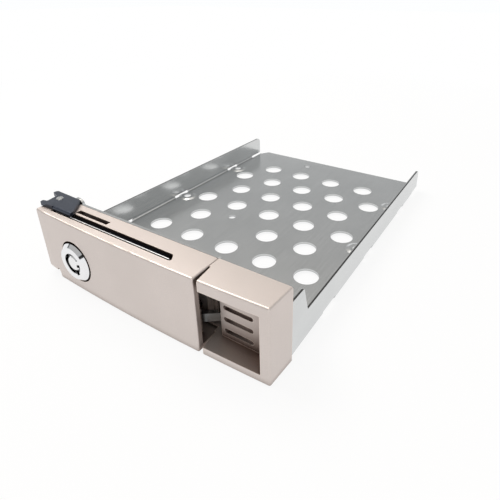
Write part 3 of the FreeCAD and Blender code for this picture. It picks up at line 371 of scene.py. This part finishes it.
CHAMPAGNE_DARK, CHAMPAGNE_LIGHT = (0.650, 0.585, 0.550), (0.680, 0.612, 0.577)
CHAMPAGNE_EDGE_HIGHLIGHT = (0.78, 0.68, 0.61)       # painted highlight along the edges
CLOUD_SIZE = 18 * MM
FLAKE_SIZE = 0.25 * MM
FLAKE_STOPS = ((0.35, (0.93, 0.93, 0.93)), (0.65, WHITE))
PEEL_SIZE = 0.6 * MM                        # of the orange peel
# Painted shade: darker in the cover's recesses and in corners
RECESS_REACH, RECESS_SHADE = 16 * MM, (0.25, 0.158, 0.122)
CORNER_REACH, CORNER_SHADE = 4 * MM, (0.30, 0.24, 0.21)
EDGE_HIGHLIGHT_RADIUS = 0.5 * MM
PAINT_METALLIC = 0.9


def champagne_metal():
    """Satin metallic paint: fine flake, a faint cloudiness and orange peel, with painted shade in
    hollows and corners and a painted highlight along the edges.
    """
    finish = Finish("champagne_metal")
    flake = finish.noise(FLAKE_SIZE, detail=1.0)
    cloud = finish.noise(CLOUD_SIZE, detail=2.0)
    base = finish.pattern_colours(cloud, CHAMPAGNE_DARK, CHAMPAGNE_LIGHT)
    paint = finish.multiply(base, finish.colours(flake, *FLAKE_STOPS))
    # Painted shade in recesses and corners
    paint = finish.shade_hollows(paint, RECESS_REACH, RECESS_SHADE, own=True, open_at=0.95)
    paint = finish.shade_hollows(paint, CORNER_REACH, CORNER_SHADE)
    # Painted highlight along the edges
    edge_highlight = finish.edge_share(EDGE_HIGHLIGHT_RADIUS, low=0.80, high=0.97)
    finish.feed("Base Color", finish.blend(edge_highlight, paint, CHAMPAGNE_EDGE_HIGHLIGHT))
    finish.roughness(flake, low=0.38, high=0.48)
    finish.metallic(PAINT_METALLIC)
    peel = finish.noise(PEEL_SIZE, detail=1.0)
    finish.bump(peel, strength=0.05, distance=0.05 * MM)
    return finish.material


HIGH_CORNER = 6                             # the corner of an object's box with the highest values
ZINC_DARK, ZINC_LIGHT = (0.620, 0.632, 0.632), (0.670, 0.680, 0.680)
ZINC_CLOUD_SIZE = 22 * MM
ROLLING_SHADE = (0.95, 0.95, 0.95)
ROLLING_SIZE = 0.35 * MM
ROLLING_STRETCH = (1.0, 0.02, 1.0)          # the lines run along Y
# Painted shade in the tray's bends and corners
BEND_REACH, BEND_SHADE = 3 * MM, (0.35, 0.35, 0.36)
SHEARED = (0.11, 0.11, 0.11)
WALL_FACE = nodes["tray"].bound_box[HIGH_CORNER][0]     # outside of the right wall
RIM_WIDTH = 0.65 * MM                       # of the sheared line on the walls' top edges
RIM_OUT = 0.25 * MM                         # how far past the walls' faces it is looked for
RIM_LOW, RIM_HIGH = 8 * MM, 22 * MM         # above the walls' bends, below the flange's top
RIM_FACING = 0.3                            # least share of up in its normal


def galvanised_steel():
    """Rolled sheet with a zinc coat: fine lines along the tray, darker sheared edges, and painted
    shade in bends and corners.
    """
    finish = Finish("galvanised_steel")
    lines = finish.noise(ROLLING_SIZE, detail=2.0, stretch=ROLLING_STRETCH)
    cloud = finish.noise(ZINC_CLOUD_SIZE, detail=3.0)
    base = finish.pattern_colours(cloud, ZINC_DARK, ZINC_LIGHT)
    streak = finish.pattern_colours(lines, ROLLING_SHADE, WHITE)
    # Painted shade in the bends and corners
    sheet = finish.shade_hollows(finish.multiply(base, streak), BEND_REACH, BEND_SHADE)
    right = finish.within("X", WALL_FACE - RIM_WIDTH, WALL_FACE + RIM_OUT)
    left = finish.within("X", -WALL_FACE - RIM_OUT, -WALL_FACE + RIM_WIDTH)
    on_walls = finish.calculate("ADD", right, left)
    rim = finish.calculate("MULTIPLY", on_walls, finish.within("Z", RIM_LOW, RIM_HIGH))
    sheared = finish.calculate("MULTIPLY", rim, finish.facing_up(RIM_FACING))
    finish.feed("Base Color", finish.blend(sheared, sheet, SHEARED))
    finish.roughness(lines, low=0.17, high=0.25)
    finish.metallic(1.0)
    finish.bump(lines, strength=0.03, distance=0.02 * MM)
    return finish.material


BLACK_DARK, BLACK_LIGHT = (0.043, 0.051, 0.071), (0.058, 0.068, 0.092)
GRAIN_SIZE = 0.5 * MM
BLACK_METALLIC = 0.8
SHEEN_LOW, SHEEN_HIGH = 0.28, 0.38          # roughness outside the cover
BLACK_IN_PAINTED_SHADE = (0.006, 0.006, 0.008)        # painted shade: near black for what lies inside the cover
DULL = 0.9                                  # its roughness
# Painted highlight: a bright metal colour along the ridge's top stands in for its glint
RIDGE_PAINTED_GLINT = (0.75, 0.75, 0.76)
COVER_TOP = nodes["lever_cover"].bound_box[HIGH_CORNER][2]
RIDGE_HEIGHT = 0.35 * MM                    # the ridge shows this far below the cover's top
RIDGE_FRONT, RIDGE_BACK = -94.5 * MM, -93.8 * MM


def black_steel():
    """Black plated sheet with a soft sheen; inside the cover, painted shade makes it near black
    and dull, with a painted highlight along one ridge there.
    """
    finish = Finish("black_steel")
    grain = finish.noise(GRAIN_SIZE, detail=3.0)
    plating = finish.pattern_colours(grain, BLACK_DARK, BLACK_LIGHT)
    inside = finish.within("Z", 0.0, COVER_TOP)
    ridge = finish.calculate("MULTIPLY", finish.within("Z", COVER_TOP - RIDGE_HEIGHT, COVER_TOP),
                             finish.within("Y", RIDGE_FRONT, RIDGE_BACK))
    # Painted shade: near black inside the cover
    dark = finish.blend(inside, plating, BLACK_IN_PAINTED_SHADE)
    # Painted highlight along the ridge
    finish.feed("Base Color", finish.blend(ridge, dark, RIDGE_PAINTED_GLINT))
    finish.feed("Metallic", finish.remap(inside, 0.0, 1.0, BLACK_METALLIC, 1.0))
    dull = finish.calculate("MULTIPLY", finish.calculate("SUBTRACT", inside, ridge), DULL)
    sheen = finish.remap(grain, NOISE_LOW, NOISE_HIGH, SHEEN_LOW, SHEEN_HIGH)
    finish.feed("Roughness", finish.calculate("MAXIMUM", sheen, dull))
    finish.bump(grain, strength=0.06, distance=0.03 * MM)
    return finish.material


MARK_SIZE = 0.3 * MM
MARK_SHADE = 0.93                           # how dark the polishing marks are
# Colour, and roughness from low to high
PLATED = {
    "fastener_steel": ((0.55, 0.56, 0.56), 0.20, 0.32),
    "spring_steel": ((0.16, 0.165, 0.165), 0.16, 0.26),
    "lock_chrome": ((0.86, 0.86, 0.87), 0.05, 0.12),
    "lock_post": ((0.86, 0.86, 0.86), 0.10, 0.20),
}


def plated(name, colour, low, high):
    """Bright plated metal with faint polishing marks, its roughness from low to high."""
    finish = Finish(name)
    marks = finish.noise(MARK_SIZE, detail=2.0)
    dark = tuple(channel * MARK_SHADE for channel in colour)
    finish.feed("Base Color", finish.pattern_colours(marks, dark, colour))
    finish.roughness(marks, low, high)
    finish.metallic(1.0)
    return finish.material


def dress_nodes():
    """Gives each node the finish of its slot."""
    finishes = {
        "champagne_metal": champagne_metal(),
        "galvanised_steel": galvanised_steel(),
        "black_steel": black_steel(),
    }
    for name, values in PLATED.items():
        finishes[name] = plated(name, *values)
    for part in frame["record"]["subparts"]:
        mesh = nodes[part["node"]].data
        mesh.materials.clear()
        mesh.materials.append(finishes[part["material_slot"]])


def main():
    bpy.context.scene.view_settings.view_transform = "Standard"
    make_world()
    make_floor()
    make_lights()
    make_camera()
    dress_nodes()


main()
